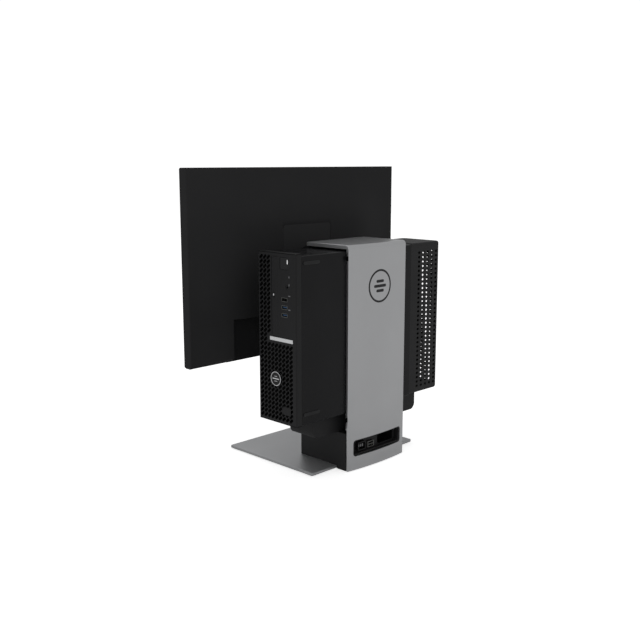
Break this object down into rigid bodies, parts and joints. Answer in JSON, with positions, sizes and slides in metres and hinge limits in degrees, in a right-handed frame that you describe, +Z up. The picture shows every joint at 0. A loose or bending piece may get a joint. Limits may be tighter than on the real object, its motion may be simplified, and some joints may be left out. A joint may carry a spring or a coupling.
{
  "type": "mini pc",
  "caption": "Small desktop computer docked on edge in a silver column stand, with a perforated rear cable cover and a flat display that lifts, tilts and pivots.",
  "frame": {"origin": "on the desk under the middle of the column, where the flat pad below the base plate touches it", "axes": "+Z up; the display faces -Y and the silver back panel faces +Y; the front of the computer faces +X"},
  "size_m": [0.532, 0.2567, 0.5322],
  "materials": {
    "silver_skin": "satin",
    "silver_plate": "satin",
    "silver_trim": "satin",
    "black_plastic": "fine texture",
    "grey_plastic": "fine texture",
    "black_steel": "satin",
    "bare_steel": "brushed",
    "bare_aluminium": "satin",
    "black_rubber": "matte",
    "circuit_board": "matte",
    "lcd_front": "low gloss"
  },
  "bodies": {
    "stand": {"base_plate": "silver_plate", "base_pad": "black_rubber", "base_foot_1": "black_rubber", "base_foot_2": "black_rubber", "base_foot_3": "black_rubber", "base_foot_4": "black_rubber", "column_base": "black_plastic", "stand_cover": "silver_skin", "cover_clip_upper": "black_plastic", "cover_clip_lower": "black_plastic", "port_window": "black_plastic", "power_inlet": "black_plastic", "back_socket": "bare_steel", "cradle_tray": "grey_plastic", "lift_tower": "black_steel", "lift_rail": "bare_steel", "lift_spring": "bare_steel"},
    "cable_cover": {"cable_cover": "grey_plastic"},
    "computer": {"pc_chassis": "black_steel", "pc_side_cover": "black_steel", "pc_front_bezel": "black_plastic", "bezel_strip": "silver_trim", "front_sockets": "black_plastic", "headset_jack": "black_plastic", "optical_drive": "bare_steel", "motherboard": "circuit_board", "cpu_heatsink": "bare_aluminium", "cpu_fan_frame": "black_plastic", "memory_module_1": "circuit_board", "memory_module_2": "circuit_board", "solid_state_drive": "circuit_board", "power_supply": "bare_steel", "hard_drive": "bare_aluminium", "rear_sockets": "bare_aluminium", "pc_foot_1": "black_rubber", "pc_foot_2": "black_rubber", "pc_foot_3": "black_rubber", "pc_foot_4": "black_rubber"},
    "power_button": {"power_button": "black_plastic"},
    "drive_tray": {"drive_tray": "black_plastic"},
    "eject_button": {"eject_button": "grey_plastic"},
    "cpu_fan": {"cpu_fan": "black_plastic"},
    "supply_fan": {"supply_fan": "black_plastic"},
    "lift_carriage": {"lift_carriage": "bare_steel", "tilt_arm": "black_steel", "tilt_pin": "bare_steel"},
    "tilt_head": {"tilt_head": "black_steel"},
    "display": {"pivot_disc": "black_steel", "head_plate": "black_steel", "display_rear_cover": "black_plastic", "display_bezel": "black_plastic", "lcd_panel": "lcd_front", "display_board": "circuit_board"},
    "release_button": {"release_button": "grey_plastic"},
    "display_power_button": {"display_power_button": "black_plastic"},
    "display_menu_button_1": {"display_menu_button_1": "black_plastic"},
    "display_menu_button_2": {"display_menu_button_2": "black_plastic"},
    "display_menu_button_3": {"display_menu_button_3": "black_plastic"},
    "display_menu_button_4": {"display_menu_button_4": "black_plastic"}
  },
  "joints": [
    {"name": "display_lift", "type": "slide", "parent": "stand", "child": "lift_carriage", "axis": [0, 0, 1], "range_m": [-0.08, 0.02]},
    {"name": "display_tilt", "type": "hinge", "parent": "lift_carriage", "child": "tilt_head", "pos_m": [0, -0.1, 0.359], "axis": [1, 0, 0], "range_deg": [-21, 5]},
    {"name": "display_pivot", "type": "hinge", "parent": "tilt_head", "child": "display", "pos_m": [0, -0.12, 0.359], "axis": [0, 1, 0], "range_deg": [-90, 90]},
    {"name": "release_button_press", "type": "slide", "parent": "display", "child": "release_button", "axis": [0, 0, 1], "range_m": [0, 0.002], "stiffness_N_per_m": 500},
    {"name": "display_power_button_press", "type": "slide", "parent": "display", "child": "display_power_button", "axis": [0, 0, 1], "range_m": [0, 0.001], "stiffness_N_per_m": 400},
    {"name": "display_menu_button_1_press", "type": "slide", "parent": "display", "child": "display_menu_button_1", "axis": [0, 0, 1], "range_m": [0, 0.001], "stiffness_N_per_m": 400},
    {"name": "display_menu_button_2_press", "type": "slide", "parent": "display", "child": "display_menu_button_2", "axis": [0, 0, 1], "range_m": [0, 0.001], "stiffness_N_per_m": 400},
    {"name": "display_menu_button_3_press", "type": "slide", "parent": "display", "child": "display_menu_button_3", "axis": [0, 0, 1], "range_m": [0, 0.001], "stiffness_N_per_m": 400},
    {"name": "display_menu_button_4_press", "type": "slide", "parent": "display", "child": "display_menu_button_4", "axis": [0, 0, 1], "range_m": [0, 0.001], "stiffness_N_per_m": 400},
    {"name": "computer_dock_slide", "type": "slide", "parent": "stand", "child": "computer", "axis": [1, 0, 0], "range_m": [0, 0.3]},
    {"name": "cable_cover_slide", "type": "slide", "parent": "stand", "child": "cable_cover", "axis": [-1, 0, 0], "range_m": [0, 0.12]},
    {"name": "power_button_press", "type": "slide", "parent": "computer", "child": "power_button", "axis": [-1, 0, 0], "range_m": [0, 0.0015], "stiffness_N_per_m": 600},
    {"name": "drive_tray_slide", "type": "slide", "parent": "computer", "child": "drive_tray", "axis": [1, 0, 0], "range_m": [0, 0.12]},
    {"name": "eject_button_press", "type": "slide", "parent": "drive_tray", "child": "eject_button", "axis": [-1, 0, 0], "range_m": [0, 0.001], "stiffness_N_per_m": 400},
    {"name": "cpu_fan_spin", "type": "hinge", "parent": "computer", "child": "cpu_fan", "pos_m": [0.0006, 0.001, 0.3112], "axis": [0, 1, 0], "continuous": true},
    {"name": "supply_fan_spin", "type": "hinge", "parent": "computer", "child": "supply_fan", "pos_m": [-0.0909, -0.005, 0.1522], "axis": [1, 0, 0], "continuous": true}
  ]
}
